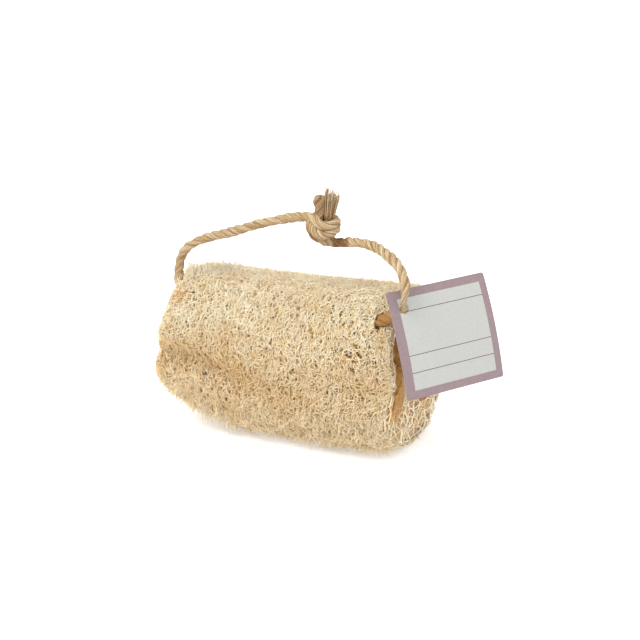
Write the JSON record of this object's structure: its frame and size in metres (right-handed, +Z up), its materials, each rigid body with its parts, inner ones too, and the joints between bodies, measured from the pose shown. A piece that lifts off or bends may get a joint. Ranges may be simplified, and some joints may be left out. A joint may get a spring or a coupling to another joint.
{
  "type": "natural loofah sponge",
  "caption": "Cut length of dried loofah gourd, a squashed fibrous net with open seed chambers, for scrubbing skin, hung by a knotted jute cord loop with a blank square card tag.",
  "frame": {"origin": "middle of the sponge's footprint on the surface it lies on", "axes": "+X along the sponge towards its open end with the tag, -Y towards its creased front, +Z up"},
  "size_m": [0.1921, 0.0868, 0.1382],
  "materials": {
    "loofah_fibre": "matte",
    "jute": "matte",
    "tag_card": "matte"
  },
  "bodies": {
    "root": {"loofah": "loofah_fibre", "cord": "jute", "cord_knot": "jute", "hang_tag": "tag_card"}
  },
  "joints": []
}
